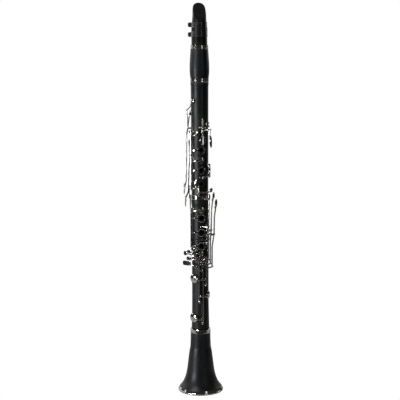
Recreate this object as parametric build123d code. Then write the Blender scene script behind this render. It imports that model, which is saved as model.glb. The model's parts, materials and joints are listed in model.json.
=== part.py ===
from build123d import *
import math
import os

# A B-flat clarinet with seventeen keys and six finger rings, as separate physical pieces.
#
# Units are millimetres. +Z runs up the bore, from the bell's rim to the mouthpiece's tip, and the origin
# is the centre of the rim, on the surface the bell stands on. The finger holes face -Y, so an angle around
# the bore is counted from -Y towards +X: 0 is the front, 90 the player's left, 180 the back and -90 the
# player's right.

os.makedirs("parts", exist_ok=True)

# ---------------------------------------------------------------- driving dimensions

BELL_TOP = 110.0  # joint lines, up the bore
LOWER_TOP = 343.0
UPPER_TOP = 534.0
BARREL_TOP = 596.0
TIP = 666.0

BORE = 7.35  # cylindrical part of the bore, a radius
UPPER_FOOT_RADIUS = 14.2  # outside of the upper joint at its lower end
UPPER_HEAD_RADIUS = 15.0
LOWER_WAIST_RADIUS = 14.3
LOWER_FOOT_RADIUS = 15.3
SOCKET_RADIUS = 15.1  # the swell around the lower joint's socket
BARREL_RADIUS = 16.6
RIM_RADIUS = 39.0  # widest point of the bell
SHANK_RADIUS = 13.4  # mouthpiece below the ligature

TENON_LENGTH = 16.0
TENON_RADIUS = 11.4
BELL_TENON_GROWTH = 2.0  # the tenon in the bell is that much larger
CORK_THICKNESS = 0.9
CORK_LOW, CORK_HIGH = 2.2, 13.6  # where the cork's groove lies on the tenon
SOCKET_DEPTH = TENON_LENGTH + 0.6
FIT = 0.05  # running clearance of everything that slides or turns

ROD = 1.0  # hinge rods, posts and tubes, as radii
TUBE = 1.75
POST_BALL = 1.95
POST_NECK = 1.2
POST_FLANGE = 2.2
STUD = 1.1  # the part of a post that is sunk into the body
STUD_DEPTH = 3.2
POST_GAP = 1.95  # from a post's centre to the end of a hinge tube
ROD_LINE = 18.4  # how far from the bore's axis the long hinge rods lie

PAD_THICKNESS = 1.9
CUP_WALL = 0.45
RING_HEIGHT = 1.6
CHIMNEY_TOP = 16.4  # top of the finger-hole chimneys, from the bore's axis

# ---------------------------------------------------------------- positions around the bore


def outward(angle):
    """Unit vector pointing away from the bore at an angle."""
    a = math.radians(angle)
    return Vector(math.sin(a), -math.cos(a), 0)


def around(angle):
    """Unit vector round the bore, towards larger angles."""
    a = math.radians(angle)
    return Vector(math.cos(a), math.sin(a), 0)


def at(angle, radius, height, shift=0.0):
    """A point at a radius and height, shifted sideways along the tangent."""
    return outward(angle) * radius + around(angle) * shift + Vector(0, 0, height)


def facing(angle, radius, height, shift=0.0, turn=0.0):
    """A plane that faces away from the bore: X runs round it, Y up it. Turn swings X towards Y."""
    t = math.radians(turn)
    x_dir = around(angle) * math.cos(t) + Vector(0, 0, math.sin(t))
    return Plane(at(angle, radius, height, shift), x_dir=x_dir, z_dir=outward(angle))


def upper_radius(height):
    """Outside radius of the upper joint."""
    share = (height - LOWER_TOP) / (UPPER_TOP - LOWER_TOP)
    return UPPER_FOOT_RADIUS + (UPPER_HEAD_RADIUS - UPPER_FOOT_RADIUS) * share


def lower_radius(height):
    """Outside radius of the lower joint, which swells a little towards the bell."""
    foot = max(0.0, (165.0 - height) / (165.0 - BELL_TOP))
    head = max(0.0, (height - 322.0) / 8.0)
    swell = (LOWER_FOOT_RADIUS - LOWER_WAIST_RADIUS) * foot**1.5
    return LOWER_WAIST_RADIUS + swell + min(1.0, head) * (SOCKET_RADIUS - LOWER_WAIST_RADIUS)


# ---------------------------------------------------------------- simple solids


def cylinder(start, end, radius):
    start, end = Vector(start), Vector(end)
    return Solid.make_cylinder(radius, (end - start).length, Plane(start, z_dir=end - start))


def turned(outline, plane=Plane.XZ):
    """A solid of revolution about Z from (radius, height) points joined by straight lines."""
    face = make_face(Polyline(*[(r, h) for r, h in outline], close=True))
    return revolve(plane * face, axis=Axis.Z)


def turned_about(plane, outline):
    """The same, about the normal of a plane: heights count along its normal."""
    side = Plane(plane.origin, x_dir=plane.x_dir, z_dir=-plane.y_dir)
    face = make_face(Polyline(*[(r, h) for r, h in outline], close=True))
    return revolve(side * face, axis=Axis(plane.origin, plane.z_dir))


def disc(plane, radius, low, high):
    """A round slab on a plane, between two distances along its normal."""
    return extrude(plane.offset(low) * Circle(radius), amount=high - low)


def softened(solid, edges, radius):
    """Fillets the edges, at half the radius if the full one doesn't fit."""
    for size in (radius, radius / 2):
        try:
            done = fillet(edges, size)
            if done.is_valid:
                return done
        except (ValueError, RuntimeError):
            continue
    return solid


def pipe(points, radius):
    """A round bar along a smooth curve."""
    path = Spline(*points) if len(points) > 2 else Line(*points)
    section = Plane(path @ 0, z_dir=path % 0) * Circle(radius)
    return sweep(section, path=path)


def strap(points, width, thickness, lead=(0, 0, 1)):
    """A flat bar with rounded edges along a smooth curve; its width lies along lead."""
    path = Spline(*points) if len(points) > 2 else Line(*points)
    tangent = path % 0
    across = Vector(*lead) - tangent * tangent.dot(Vector(*lead))
    section = Plane(path @ 0, x_dir=across, z_dir=tangent) * RectangleRounded(
        width, thickness, min(width, thickness) * 0.38
    )
    return sweep(section, path=path)


def spoon(outline, angle, height, shift, radius, thickness, bow=24.0):
    """A curved touch whose inner face lies at a radius, bowed round a line behind its own middle."""
    centre = at(angle, radius - bow, 0, shift)
    return shell(outline, facing(angle, 3, height, shift), bow, thickness, centre=(centre.X, centre.Y))


def shell(outline, plane, inner, thickness, centre=(0, 0)):
    """The part of a tube, parallel to the bore, that lies behind an outline drawn on a plane."""
    prism = extrude(plane * outline, amount=60)
    low, tall = plane.origin.Z - 40, 80
    base = Plane((centre[0], centre[1], low))
    tube = Solid.make_cylinder(inner + thickness, tall, base) - Solid.make_cylinder(inner, tall, base)
    piece = prism & tube
    return softened(piece, piece.edges(), thickness * 0.3)


# ---------------------------------------------------------------- hinges


class Hinge:
    """A straight hinge rod between two posts: along the bore (along "z") or crosswise (along "t")."""

    def __init__(self, angle, radius, height, length, along="z", shift=0.0, surface=upper_radius):
        self.angle, self.radius, self.height, self.length = angle, radius, height, length
        self.along, self.shift, self.surface = along, shift, surface
        self.direction = Vector(0, 0, 1) if along == "z" else around(angle)
        self.start = at(angle, radius, height, shift)
        if along == "z":
            self.end = at(angle, radius, height + length, shift)
        else:
            self.end = at(angle, radius, height, shift + length)

    def point(self, distance):
        return self.start + self.direction * distance

    def tube(self, low=None, high=None, outer=TUBE):
        """A hollow tube around the rod, from one distance along it to another."""
        low = POST_GAP if low is None else low
        high = self.length - POST_GAP if high is None else high
        whole = cylinder(self.point(low), self.point(high), outer)
        return whole - self.bore()

    def bore(self):
        """What the rod needs free inside a key."""
        return cylinder(self.point(-3), self.point(self.length + 3), ROD + FIT)

    def rod(self):
        """The hinge screw: a rod through both posts, with a slotted head."""
        head = cylinder(self.point(-POST_BALL - 0.75), self.point(-POST_BALL + 0.05), 1.4)
        slot = Plane(self.point(-POST_BALL - 0.75), z_dir=self.direction) * Rectangle(4, 0.45)
        head -= extrude(slot, amount=0.4)
        return head + cylinder(self.point(-POST_BALL), self.point(self.length + 1.7), ROD)

    def seats(self):
        """(angle, height, sideways shift) of the two posts."""
        if self.along == "z":
            return [(self.angle, self.height + d, self.shift) for d in (0, self.length)]
        return [(self.angle, self.height, self.shift + d) for d in (0, self.length)]

    def posts(self):
        return [self.post(*seat) for seat in self.seats()]

    def foot(self, height, shift):
        """How far out the body's surface is under a post, in the post's own direction."""
        return math.sqrt(self.surface(height) ** 2 - shift**2) - 0.35

    def post(self, angle, height, shift):
        """A turned post: stud, flange, waisted neck and a ball that the rod passes through."""
        foot = self.foot(height, shift)
        rise = self.radius - foot
        plane = facing(angle, foot, height, shift)
        turning = turned_about(
            plane,
            [(0, -STUD_DEPTH), (STUD, -STUD_DEPTH), (STUD, 0), (POST_FLANGE, 0), (POST_FLANGE, 0.55)]
            + [(POST_NECK + 0.35, 0.95), (POST_NECK, 1.5), (POST_NECK, rise), (0, rise)],
        )
        middle = at(angle, self.radius, height, shift)
        ball = Solid.make_sphere(POST_BALL, Plane(middle, z_dir=self.direction))
        return turning + ball - self.bore_through(middle)

    def bore_through(self, middle):
        return cylinder(middle - self.direction * 4, middle + self.direction * 4, ROD + 0.03)

    def cuts(self):
        """The holes and flat spots that the posts need in the body."""
        tools = []
        for angle, height, shift in self.seats():
            plane = facing(angle, self.foot(height, shift), height, shift)
            tools += [disc(plane, POST_FLANGE + 0.1, 0, 6), disc(plane, STUD + FIT, -STUD_DEPTH - 0.2, 0.1)]
        return tools

    def spring(self):
        """A needle spring: a fine blued wire, pressed through the lower post and lying under the tube."""
        start = self.point(-POST_NECK - 0.6) - outward(self.angle) * 2.35
        return cylinder(start, start + self.direction * min(20.0, self.length * 0.7), 0.22)


# ---------------------------------------------------------------- pads, cups, rings and tone holes


class ToneHole:
    """A hole through the body with a flat pad seat sunk into the surface."""

    def __init__(self, angle, height, hole, pad, surface):
        self.angle, self.height, self.hole, self.pad = angle, height, hole, pad
        self.moat = pad + 0.9
        self.floor = math.sqrt(surface(height) ** 2 - self.moat**2) - 0.05
        self.seat = self.floor + 0.8
        self.plane = facing(angle, self.seat, height)

    def moat_cut(self):
        return disc(self.plane, self.moat, self.floor - self.seat, 8)

    def boss(self):
        rise = self.seat - self.floor
        return turned_about(
            self.plane,
            [(0, -rise - 1.5), (self.hole + 1.3, -rise - 1.5), (self.hole + 1.3, -rise)]
            + [(self.hole + 0.5, 0), (0, 0)],
        )

    def hole_cut(self):
        return disc(self.plane, self.hole, -self.seat, 2)

    def cup(self):
        """The metal cup, a shallow dome that holds the pad."""
        outer, roof = self.pad + CUP_WALL, PAD_THICKNESS + 0.05
        dome = 0.2 * self.pad
        side = Plane(self.plane.origin, x_dir=self.plane.x_dir, z_dir=-self.plane.y_dir)
        edge = [(0, roof), (self.pad, roof), (self.pad, 0.9), (outer, 0.9), (outer, roof + 0.15)]
        top = roof + 0.35 + dome
        crown = ThreePointArc(edge[-1], (outer * 0.55, roof + 0.3 + dome * 0.8), (0, top))
        face = make_face(Polyline(*edge) + crown + Line((0, top), edge[0]))
        return revolve(side * face, axis=Axis(self.plane.origin, self.plane.z_dir))

    def crown(self):
        """A point just inside the top of the cup, where its arm is soldered on."""
        return at(self.angle, self.seat + PAD_THICKNESS + 0.3 + 0.2 * self.pad, self.height)

    def pad_disc(self):
        pad = disc(self.plane, self.pad - FIT, FIT / 2, PAD_THICKNESS)
        return softened(pad, pad.edges(), 0.3)


class FingerHole:
    """A finger hole with a chimney that stands up inside a finger ring."""

    def __init__(self, angle, height, hole, surface, wall=1.0, top=CHIMNEY_TOP):
        self.angle, self.height, self.hole, self.wall, self.top = angle, height, hole, wall, top
        self.surface = surface
        self.plane = facing(angle, top, height)
        self.ring_inner = hole + wall + 0.5
        self.ring_outer = self.ring_inner + 1.5

    def chimney(self):
        drop = self.top - self.surface(self.height) + 2
        outer = self.hole + self.wall
        return turned_about(
            self.plane, [(0, -drop), (outer + 0.3, -drop), (outer, -0.3), (outer - 0.3, 0), (0, 0)]
        )

    def hole_cut(self):
        return disc(self.plane, self.hole, -self.top, 2)

    def ring(self):
        """The finger ring, level with the chimney when it is pressed."""
        low, inner, outer = -RING_HEIGHT, self.ring_inner, self.ring_outer
        mid = (inner + outer) / 2
        return turned_about(
            self.plane,
            [(inner, low), (outer, low), (outer, low + 1.0), (outer - 0.35, -0.1)]
            + [(mid, 0.1), (inner + 0.35, -0.1), (inner, low + 1.0)],
        )

    def ring_side(self, side=-1):
        """A point inside the ring's rim, on one side, where its arm is soldered on."""
        reach = (self.ring_inner + self.ring_outer) / 2
        return at(self.angle, self.top - RING_HEIGHT / 2, self.height, side * reach)


# ---------------------------------------------------------------- keys


class Key:
    """A rigid lever on a hinge. It is drawn with its pad on the seat and its rings level with the chimneys.

    press_point is where a finger pushes; a positive turn of the joint moves it towards the bore. A key that
    stands open is turned back by its travel after drawing, so that a full press closes it again.
    """

    def __init__(self, name, hinge, press_point, travel, stands_open=False):
        self.name, self.hinge, self.travel, self.stands_open = name, hinge, travel, stands_open
        axis = hinge.direction
        arm = Vector(press_point) - hinge.start
        inward = Vector(-press_point.X, -press_point.Y, 0)
        self.axis = axis if axis.cross(arm).dot(inward) > 0 else -axis
        self.metal, self.pads = [], []

    def add(self, *pieces):
        self.metal += pieces
        return self

    def cover(self, *holes):
        """Gives the key a cup and a pad on each tone hole."""
        for hole in holes:
            self.metal.append(hole.cup())
            self.pads.append(hole.pad_disc())
        return self

    def add_as_rests(self, *pieces):
        """Adds pieces that are drawn where they stand when nobody touches the key."""
        turn = self.travel if self.stands_open else 0
        self.metal += [piece.rotate(Axis(self.hinge.start, self.axis), turn) for piece in pieces]
        return self

    def rest(self, shape):
        """A drawn shape, in the position where the key stands when nobody touches it."""
        if not self.stands_open:
            return shape
        return shape.rotate(Axis(self.hinge.start, self.axis), -self.travel)

    def write(self):
        body = self.metal[0]
        for piece in self.metal[1:]:
            body += piece
        body -= self.hinge.bore()
        export(self.name, [self.rest(body)])
        if self.pads:
            export(self.name + "_pad", [self.rest(pad) for pad in self.pads])


def export(name, solids):
    """Writes one node. Every solid of it stays separate."""
    flat = [s for shape in solids for s in shape.solids()]
    export_step(Compound(children=flat) if len(flat) > 1 else flat[0], f"parts/{name}.step")


# ---------------------------------------------------------------- tone holes and finger holes

UPPER_HOLES = {
    "register": ToneHole(180, 492, 1.6, 3.6, upper_radius),
    "trill_1": ToneHole(-58, 503, 2.6, 4.0, upper_radius),
    "trill_2": ToneHole(-78, 483, 2.8, 4.2, upper_radius),
    "side_3": ToneHole(-92, 437, 3.0, 4.4, upper_radius),
    "side_4": ToneHole(-111, 398, 3.0, 4.4, upper_radius),
    "throat_a": ToneHole(4, 470, 3.0, 4.4, upper_radius),
    "throat_g_sharp": ToneHole(48, 465, 3.0, 4.4, upper_radius),
    "f_sharp": ToneHole(-22, 447, 2.8, 4.2, upper_radius),
    "bridge": ToneHole(0, 403.5, 3.6, 5.0, upper_radius),
    "e_flat": ToneHole(80, 387, 3.2, 4.6, upper_radius),
    "c_sharp": ToneHole(-37, 365, 3.0, 4.3, upper_radius),
}
THUMB_HOLE = FingerHole(180, 428, 3.6, upper_radius)
INDEX_HOLE = FingerHole(0, 420, 3.7, upper_radius)
MIDDLE_HOLE = FingerHole(0, 386, 3.7, upper_radius)
RING_HOLE = FingerHole(0, 363, 3.7, upper_radius, wall=1.5, top=15.3)

LOWER_HOLES = {
    "vent": ToneHole(0, 319, 3.8, 5.2, lower_radius),
    "sliver": ToneHole(52, 268, 3.0, 4.4, lower_radius),
    "a_flat": ToneHole(-2, 244, 2.8, 3.6, lower_radius),
    "f": ToneHole(-54, 200, 5.2, 7.4, lower_radius),
    "f_sharp": ToneHole(55, 170, 4.2, 6.2, lower_radius),
    "e": ToneHole(-56, 131, 5.6, 7.6, lower_radius),
}
RIGHT_HOLES = [FingerHole(0, height, 4.0, lower_radius) for height in (304.5, 279.8, 256.5)]

# ---------------------------------------------------------------- body of the instrument


def pierced(body, holes, fingers, hinges):
    """Cuts the tone holes, finger holes and post seats into a joint's body."""
    for hole in holes:
        body -= hole.moat_cut()
    for hole in holes:
        body += hole.boss()
    for finger in fingers:
        body += finger.chimney()
    for cut in [h.hole_cut() for h in holes] + [f.hole_cut() for f in fingers]:
        body -= cut
    for hinge in hinges:
        for cut in hinge.cuts():
            body -= cut
    return body


def cork(low, high, outer=TENON_RADIUS):
    """A sleeve of cork around a tenon, in its groove."""
    inner = outer - CORK_THICKNESS
    edges = [(outer - 0.3, high), (outer, high - 1), (outer, low + 1), (outer - 0.3, low)]
    return turned([(inner, low), (inner, high)] + edges)


def tenon(base, sign):
    """(radius, height) points of a tenon with a cork groove; sign is +1 upwards."""
    groove, outer = TENON_RADIUS - CORK_THICKNESS, TENON_RADIUS - 0.15
    steps = [(outer, 0), (outer, CORK_LOW), (groove, CORK_LOW), (groove, CORK_HIGH), (outer, CORK_HIGH)]
    steps += [(outer, TENON_LENGTH - 0.6), (TENON_RADIUS - 0.8, TENON_LENGTH)]
    return [(radius, base + sign * rise) for radius, rise in steps]


def make_upper_joint(hinges):
    outside = [(BORE, LOWER_TOP - TENON_LENGTH)]
    outside += list(reversed(tenon(LOWER_TOP, -1)))
    outside += [(upper_radius(LOWER_TOP) - 0.5, LOWER_TOP), (upper_radius(LOWER_TOP), LOWER_TOP + 0.5)]
    outside += [(upper_radius(UPPER_TOP - 6), UPPER_TOP - 6), (UPPER_HEAD_RADIUS + 0.4, UPPER_TOP - 4)]
    outside += [(UPPER_HEAD_RADIUS + 0.4, UPPER_TOP - 0.5), (UPPER_HEAD_RADIUS - 0.1, UPPER_TOP)]
    outside += tenon(UPPER_TOP, 1) + [(BORE, UPPER_TOP + TENON_LENGTH)]
    fingers = [THUMB_HOLE, INDEX_HOLE, MIDDLE_HOLE, RING_HOLE]
    return pierced(turned(outside), UPPER_HOLES.values(), fingers, hinges)


def make_lower_joint(hinges):
    low, high = BELL_TOP, LOWER_TOP
    ring_foot = high - 7.6
    outside = [(11.0, low - TENON_LENGTH)]
    outside += [(r + BELL_TENON_GROWTH, h) for r, h in reversed(tenon(low, -1))]
    outside += [(LOWER_FOOT_RADIUS - 1.2, low), (LOWER_FOOT_RADIUS, low + 1.6)]
    heights = [118, 124, 130, 137, 144, 151, 158, 165, 322, 326, 330]
    outside += [(lower_radius(h), h) for h in heights]
    outside += [(SOCKET_RADIUS, ring_foot), (SOCKET_RADIUS - 1.2, ring_foot)]
    outside += [(SOCKET_RADIUS - 1.2, high - 0.2)]
    outside += [(TENON_RADIUS + FIT, high - 0.2), (TENON_RADIUS + FIT, high - SOCKET_DEPTH)]
    outside += [(BORE, high - SOCKET_DEPTH), (BORE, 230), (8.2, 180), (9.4, 130)]
    return pierced(turned(outside), LOWER_HOLES.values(), RIGHT_HOLES, hinges)


def make_bell():
    low_ring = 7.0
    flare = Spline(
        (RIM_RADIUS - 2.6, low_ring),
        (30.8, 14.6),
        (26.2, 25.5),
        (22.4, 46),
        (19.0, 72),
        (17.0, BELL_TOP - 7),
        tangents=[(-0.55, 0.6), (-0.02, 1)],
    )
    top = BELL_TOP
    bell_socket = TENON_RADIUS + BELL_TENON_GROWTH + FIT
    neck = [(17.0, top - 7), (15.8, top - 7), (15.8, top - 0.2), (bell_socket, top - 0.2)]
    neck += [(bell_socket, top - SOCKET_DEPTH), (11.2, top - SOCKET_DEPTH)]
    inside = Spline((11.2, top - SOCKET_DEPTH), (13.2, 62), (18.0, 34), (25.5, 14), (33.0, 0.6))
    edge = RIM_RADIUS
    rim = Polyline((33.0, 0.6), (edge - 3.8, 0.6), (edge - 3.8, 4.5), (edge - 2.6, low_ring))
    face = make_face(flare + Polyline(*neck) + inside + rim)
    return revolve(Plane.XZ * face, axis=Axis.Z)


def make_bell_rings():
    """The nickel rings at the bell's two ends: one round its socket, one round its rim."""
    top = BELL_TOP
    profile = [(15.8, top - 7), (17.0, top - 7), (17.4, top - 6.4), (17.4, top - 0.8), (16.8, top)]
    socket = turned(profile + [(15.8, top)])
    low, edge = 0.0, RIM_RADIUS
    bead = ThreePointArc((edge - 1.2, low), (edge, 1.7), (edge - 0.7, 3.6))
    profile = Polyline((33.6, low), (edge - 1.2, low)) + bead
    profile += Polyline((edge - 0.7, 3.6), (edge - 2.3, 7.0), (edge - 2.6, 7.0), (edge - 3.8, 4.5))
    profile += Polyline((edge - 3.8, 4.5), (edge - 3.8, 0.6), (33.6, 0.6), (33.6, low))
    rim = revolve(Plane.XZ * make_face(profile), axis=Axis.Z)
    return [socket, rim]


def make_barrel():
    foot, head = UPPER_TOP, BARREL_TOP
    ring = 7.0
    swell = Spline((15.5, foot + ring), (BARREL_RADIUS, foot + 21), (15.9, head - 22), (14.9, head - ring))
    socket = TENON_RADIUS + FIT
    low_end = [(15.5, foot + ring), (14.4, foot + ring), (14.4, foot + 0.1), (socket, foot + 0.1)]
    low_end += [(socket, foot + SOCKET_DEPTH), (BORE, foot + SOCKET_DEPTH)]
    high_end = [(BORE, foot + SOCKET_DEPTH), (BORE, head - SOCKET_DEPTH), (socket, head - SOCKET_DEPTH)]
    high_end += [(socket, head - 0.1), (13.8, head - 0.1), (13.8, head - ring), (14.9, head - ring)]
    face = make_face(swell + Polyline(*low_end) + Polyline(*high_end))
    return revolve(Plane.XZ * face, axis=Axis.Z)


def make_socket_ring(inner, outer, low, high):
    """A plated ring with rounded corners that keeps a socket from splitting."""
    soft = 0.6
    profile = [
        (inner, low), (outer - soft, low), (outer, low + soft),
        (outer, high - soft), (outer - soft, high), (inner, high),
    ]
    return turned(profile)


# ---------------------------------------------------------------- mouthpiece, reed and ligature

TABLE = 8.6  # how far behind the bore's axis the flat table lies, for the reed
REED_TOP = TIP - 0.6
REED_FOOT = 599.0
LIGATURE_LOW, LIGATURE_HIGH = 609.8, 633.5


def make_mouthpiece():
    base = BARREL_TOP
    body = turned(
        [(BORE, base - TENON_LENGTH)]
        + list(reversed(tenon(base, -1)))
        + [(SHANK_RADIUS - 0.6, base), (SHANK_RADIUS, base + 0.8), (SHANK_RADIUS - 0.1, base + 12)]
        + [(11.9, base + 44), (11.4, TIP), (0, TIP), (0, 655), (BORE - 2.5, 640), (BORE, 610)]
    )
    # sides of the beak narrow to a rounded tip
    crown = make_face(
        Polyline((-30, base - 30), (-30, 640), (-11.6, 640))
        + Spline((-11.6, 640), (-10.6, 654), (-8.2, 662.5), (0, TIP), (8.2, 662.5), (10.6, 654), (11.6, 640))
        + Polyline((11.6, 640), (30, 640), (30, base - 30), (-30, base - 30))
    )
    body &= extrude(Plane.XZ * crown, amount=40, both=True)
    # beak slope on the front, from above the ligature to the tip edge behind the axis
    beak = make_face(
        Polyline((-40, 637), (-11.3, 637))
        + Spline((-11.3, 637), (-3.0, 650), (TABLE - 1.3, TIP + 0.2))
        + Polyline((TABLE - 1.3, TIP + 0.2), (TABLE - 1.3, TIP + 20), (-40, TIP + 20), (-40, 637))
    )
    body -= extrude(Plane.YZ * beak, amount=30, both=True)
    table = Location((0, TABLE + 10, 631 + 10)) * Box(40, 20, 90)
    body -= table
    window = Plane.XZ.offset(-TABLE - 1) * Location((0, 644)) * SlotOverall(33, 9.4, rotation=90)
    behind_beak = make_face(
        Polyline(
            (0, 620), (0, 652), (5.0, 660), (TABLE - 0.8, 662), (TABLE + 2, 662), (TABLE + 2, 620), (0, 620)
        )
    )
    body -= extrude(window, amount=TABLE + 1) & extrude(Plane.YZ * behind_beak, amount=10, both=True)
    return body


def make_reed():
    """A cane reed: a flat back, a rounded heart and a blade that thins to the tip."""
    middle = (REED_FOOT + REED_TOP) / 2
    half = (REED_TOP - REED_FOOT) / 2
    outline = make_face(
        Polyline((-5.6, -half), (5.6, -half), (6.4, half - 4))
        + ThreePointArc((6.4, half - 4), (0, half), (-6.4, half - 4))
        + Line((-6.4, half - 4), (-5.6, -half))
    )
    slab = extrude(facing(180, TABLE + 0.05, middle) * outline, amount=4)
    bark = cylinder((0, TABLE - 6.0, REED_FOOT - 1), (0, TABLE - 6.0, TIP + 1), 9.0)
    vamp = make_face(
        Polyline((TABLE - 1, REED_FOOT - 5), (TABLE + 3.1, REED_FOOT - 5), (TABLE + 3.1, 633))
        + Spline((TABLE + 3.1, 633), (TABLE + 1.9, 642), (TABLE + 0.95, 653), (TABLE + 0.35, REED_TOP + 0.5))
        + Polyline((TABLE + 0.35, REED_TOP + 0.5), (TABLE - 1, REED_TOP + 0.5), (TABLE - 1, REED_FOOT - 5))
    )
    return slab & bark & extrude(Plane.YZ * vamp, amount=20, both=True)


def band(low, high, inner_low, inner_high, thickness):
    """A thin tapered sleeve around the mouthpiece."""
    return turned(
        [(inner_low, low), (inner_low + thickness, low), (inner_high + thickness, high), (inner_high, high)]
    )


LIGATURE_SCREWS = {"ligature_screw_lower": 613.2, "ligature_screw_upper": 629.5}
SCREW_DEPTH = 15.6  # how far behind the bore's axis the ligature screws lie


def mouthpiece_radius(height):
    """Outside radius of the round part of the mouthpiece."""
    share = (height - BARREL_TOP - 12) / 32.0
    return SHANK_RADIUS - 0.1 + (11.9 - SHANK_RADIUS + 0.1) * share


def make_ligature():
    """A split metal sleeve with a window on each side and two pairs of lugs behind the reed."""
    low, high = LIGATURE_LOW, LIGATURE_HIGH
    inner_low, inner_high = mouthpiece_radius(low) + 0.08, mouthpiece_radius(high) + 0.08
    sleeve = band(low, high, inner_low, inner_high, 0.8)
    for lip in (low, high - 1.6):
        share = (lip - low) / (high - low)
        radius = inner_low + (inner_high - inner_low) * share
        lip_top = lip + 1.6
        sleeve += turned(
            [(radius + 0.5, lip), (radius + 1.25, lip), (radius + 1.2, lip_top), (radius + 0.4, lip_top)]
        )
    for angle in (58, -58):
        opening = facing(angle, 2, (low + high) / 2) * RectangleRounded(9, 6.5, 2.5)
        sleeve -= extrude(opening, amount=30)
    sleeve -= Location((0, 13, (low + high) / 2)) * Box(7.4, 14, high - low + 2)
    for side in (-1, 1):
        for height in LIGATURE_SCREWS.values():
            lug = Location((side * 4.7, SCREW_DEPTH - 1.9, height)) * Box(2.0, 7.4, 5.0)
            boss = cylinder((side * 3.7, SCREW_DEPTH, height), (side * 5.7, SCREW_DEPTH, height), 2.7)
            sleeve += (lug + boss) - turned([(0, low - 5), (12.6, low - 5), (12.6, high + 5), (0, high + 5)])
    for height in LIGATURE_SCREWS.values():
        sleeve -= cylinder((-10, SCREW_DEPTH, height), (10, SCREW_DEPTH, height), 1.25)
    return sleeve


def make_ligature_screw(height):
    """A thumb screw with a knurled, rounded head on the player's right."""
    shaft = cylinder((-9, SCREW_DEPTH, height), (7.4, SCREW_DEPTH, height), 1.2)
    plane = Plane((-7.2, SCREW_DEPTH, height), x_dir=(0, 1, 0), z_dir=(-1, 0, 0))
    head = turned_about(
        plane,
        [(0, 0), (1.9, 0), (1.9, 1.8), (3.6, 2.4), (4.1, 3.2), (4.1, 7.0), (3.7, 8.4), (2.6, 9.4), (0, 9.8)],
    )
    knurls = 16
    for step in range(knurls):
        turn = math.radians(step * 360 / knurls)
        groove = plane * Location((4.3 * math.cos(turn), 4.3 * math.sin(turn), 2.8)) * Cylinder(
            0.38, 4.9, align=(Align.CENTER, Align.CENTER, Align.MIN)
        )
        head -= groove
    return shaft + head


# ---------------------------------------------------------------- hinges of the upper joint

SIDE = -96  # the side keys lie along this angle
BACK = 180
LINK_HEIGHT = 445.7  # where the thumb ring lifts the index ring
BRIDGE = -79  # angle of the bridge between the joints

UPPER_HINGES = {
    "register": Hinge(BACK, 19.0, 463, 9.0, along="t", shift=-4.5),
    "thumb": Hinge(-118, ROD_LINE, 421, 29),
    "throat_a": Hinge(4, 18.6, 459, 8.4, along="t", shift=-4.2),
    "throat_g_sharp": Hinge(48, 18.6, 454.5, 8.4, along="t", shift=-4.2),
    "index_ring": Hinge(-64, ROD_LINE, 411.5, 40.5),
    "bridge_ring": Hinge(-64, ROD_LINE, 355, 50.5),
    "trill": Hinge(SIDE, 19.6, 457, 11.0, along="t", shift=-3.2),
    "side_3": Hinge(SIDE, 17.5, 412, 6.4, along="t", shift=-0.6),
    "side_4": Hinge(SIDE, 17.5, 378, 6.4, along="t", shift=-7.4),
    "c_sharp": Hinge(-17, 17.9, 346.2, 11.6),
    "e_flat": Hinge(52, ROD_LINE, 376, 19),
}

LOWER = lower_radius
LEVERS = 54  # the left little-finger levers lie side by side around this angle
LEVER_SHIFTS = (-8.3, -1.0, 6.3)
LEVER_HINGE_RADII = (18.6, 20.0, 22.0)
LEVER_FOOT = 19.4  # how far out the levers' lower ends lie
LEVER_TRAVEL = {"left_e_b_lever": 1.5, "left_f_sharp_lever": 1.7, "left_f_c_lever": 2.6}

LOWER_HINGES = {
    "rings": Hinge(-64, ROD_LINE, 251.8, 68.2, surface=LOWER),
    "sliver": Hinge(30, 18.0, 261.5, 13, surface=LOWER),
    "a_flat": Hinge(-34, 18.2, 237.5, 11.5, surface=LOWER),
    "f_c": Hinge(19.5, 18.8, 189.5, 47, surface=LOWER),
    "f_sharp": Hinge(-14, 17.6, 160, 77.4, surface=LOWER),
    "e_b": Hinge(2.5, 17.6, 122.5, 114.0, surface=LOWER),
}
for name, height, shift, radius in zip(
    ("lever_e_b", "lever_f_sharp", "lever_f_c"), (290, 283, 275), LEVER_SHIFTS, LEVER_HINGE_RADII
):
    LOWER_HINGES[name] = Hinge(LEVERS, radius, height, 6.4, along="t", shift=shift - 3.2, surface=LOWER)

# ---------------------------------------------------------------- keys of the upper joint


def arm(hinge, distance, hole, lift=0.0, width=2.6, thickness=1.9):
    """A curved arm from a lengthwise hinge tube to the top of a cup."""
    start = hinge.point(distance)
    crown = hole.crown()
    middle_angle = (hinge.angle + hole.angle) / 2
    height = (start.Z + crown.Z) / 2
    middle = at(middle_angle, max(hinge.radius, hole.seat + 3.2) + lift, height)
    return strap([start, middle, crown], width, thickness)


def ring_arm(hinge, finger):
    """A curved arm from a lengthwise hinge tube to the near side of a finger ring."""
    distance = finger.height - hinge.height
    end = finger.ring_side(-1)
    middle = at((hinge.angle + finger.angle) / 2 - 4, hinge.radius + 0.1, finger.height)
    return strap([hinge.point(distance), middle, end], 2.6, 1.7)


def profile_bar(angle, shift, line, width, thickness, bend=3.0):
    """A bar that runs along the bore: line gives (height, radius) points, rounded where it bends."""
    plane = Plane(at(angle, 0, 0, shift), x_dir=(0, 0, 1), z_dir=around(angle))
    path = FilletPolyline(*line, radius=bend) if len(line) > 2 else Polyline(*line)
    solid = extrude(plane * trace(path, thickness), amount=width / 2, both=True)
    return softened(solid, solid.edges(), 0.35)


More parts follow.
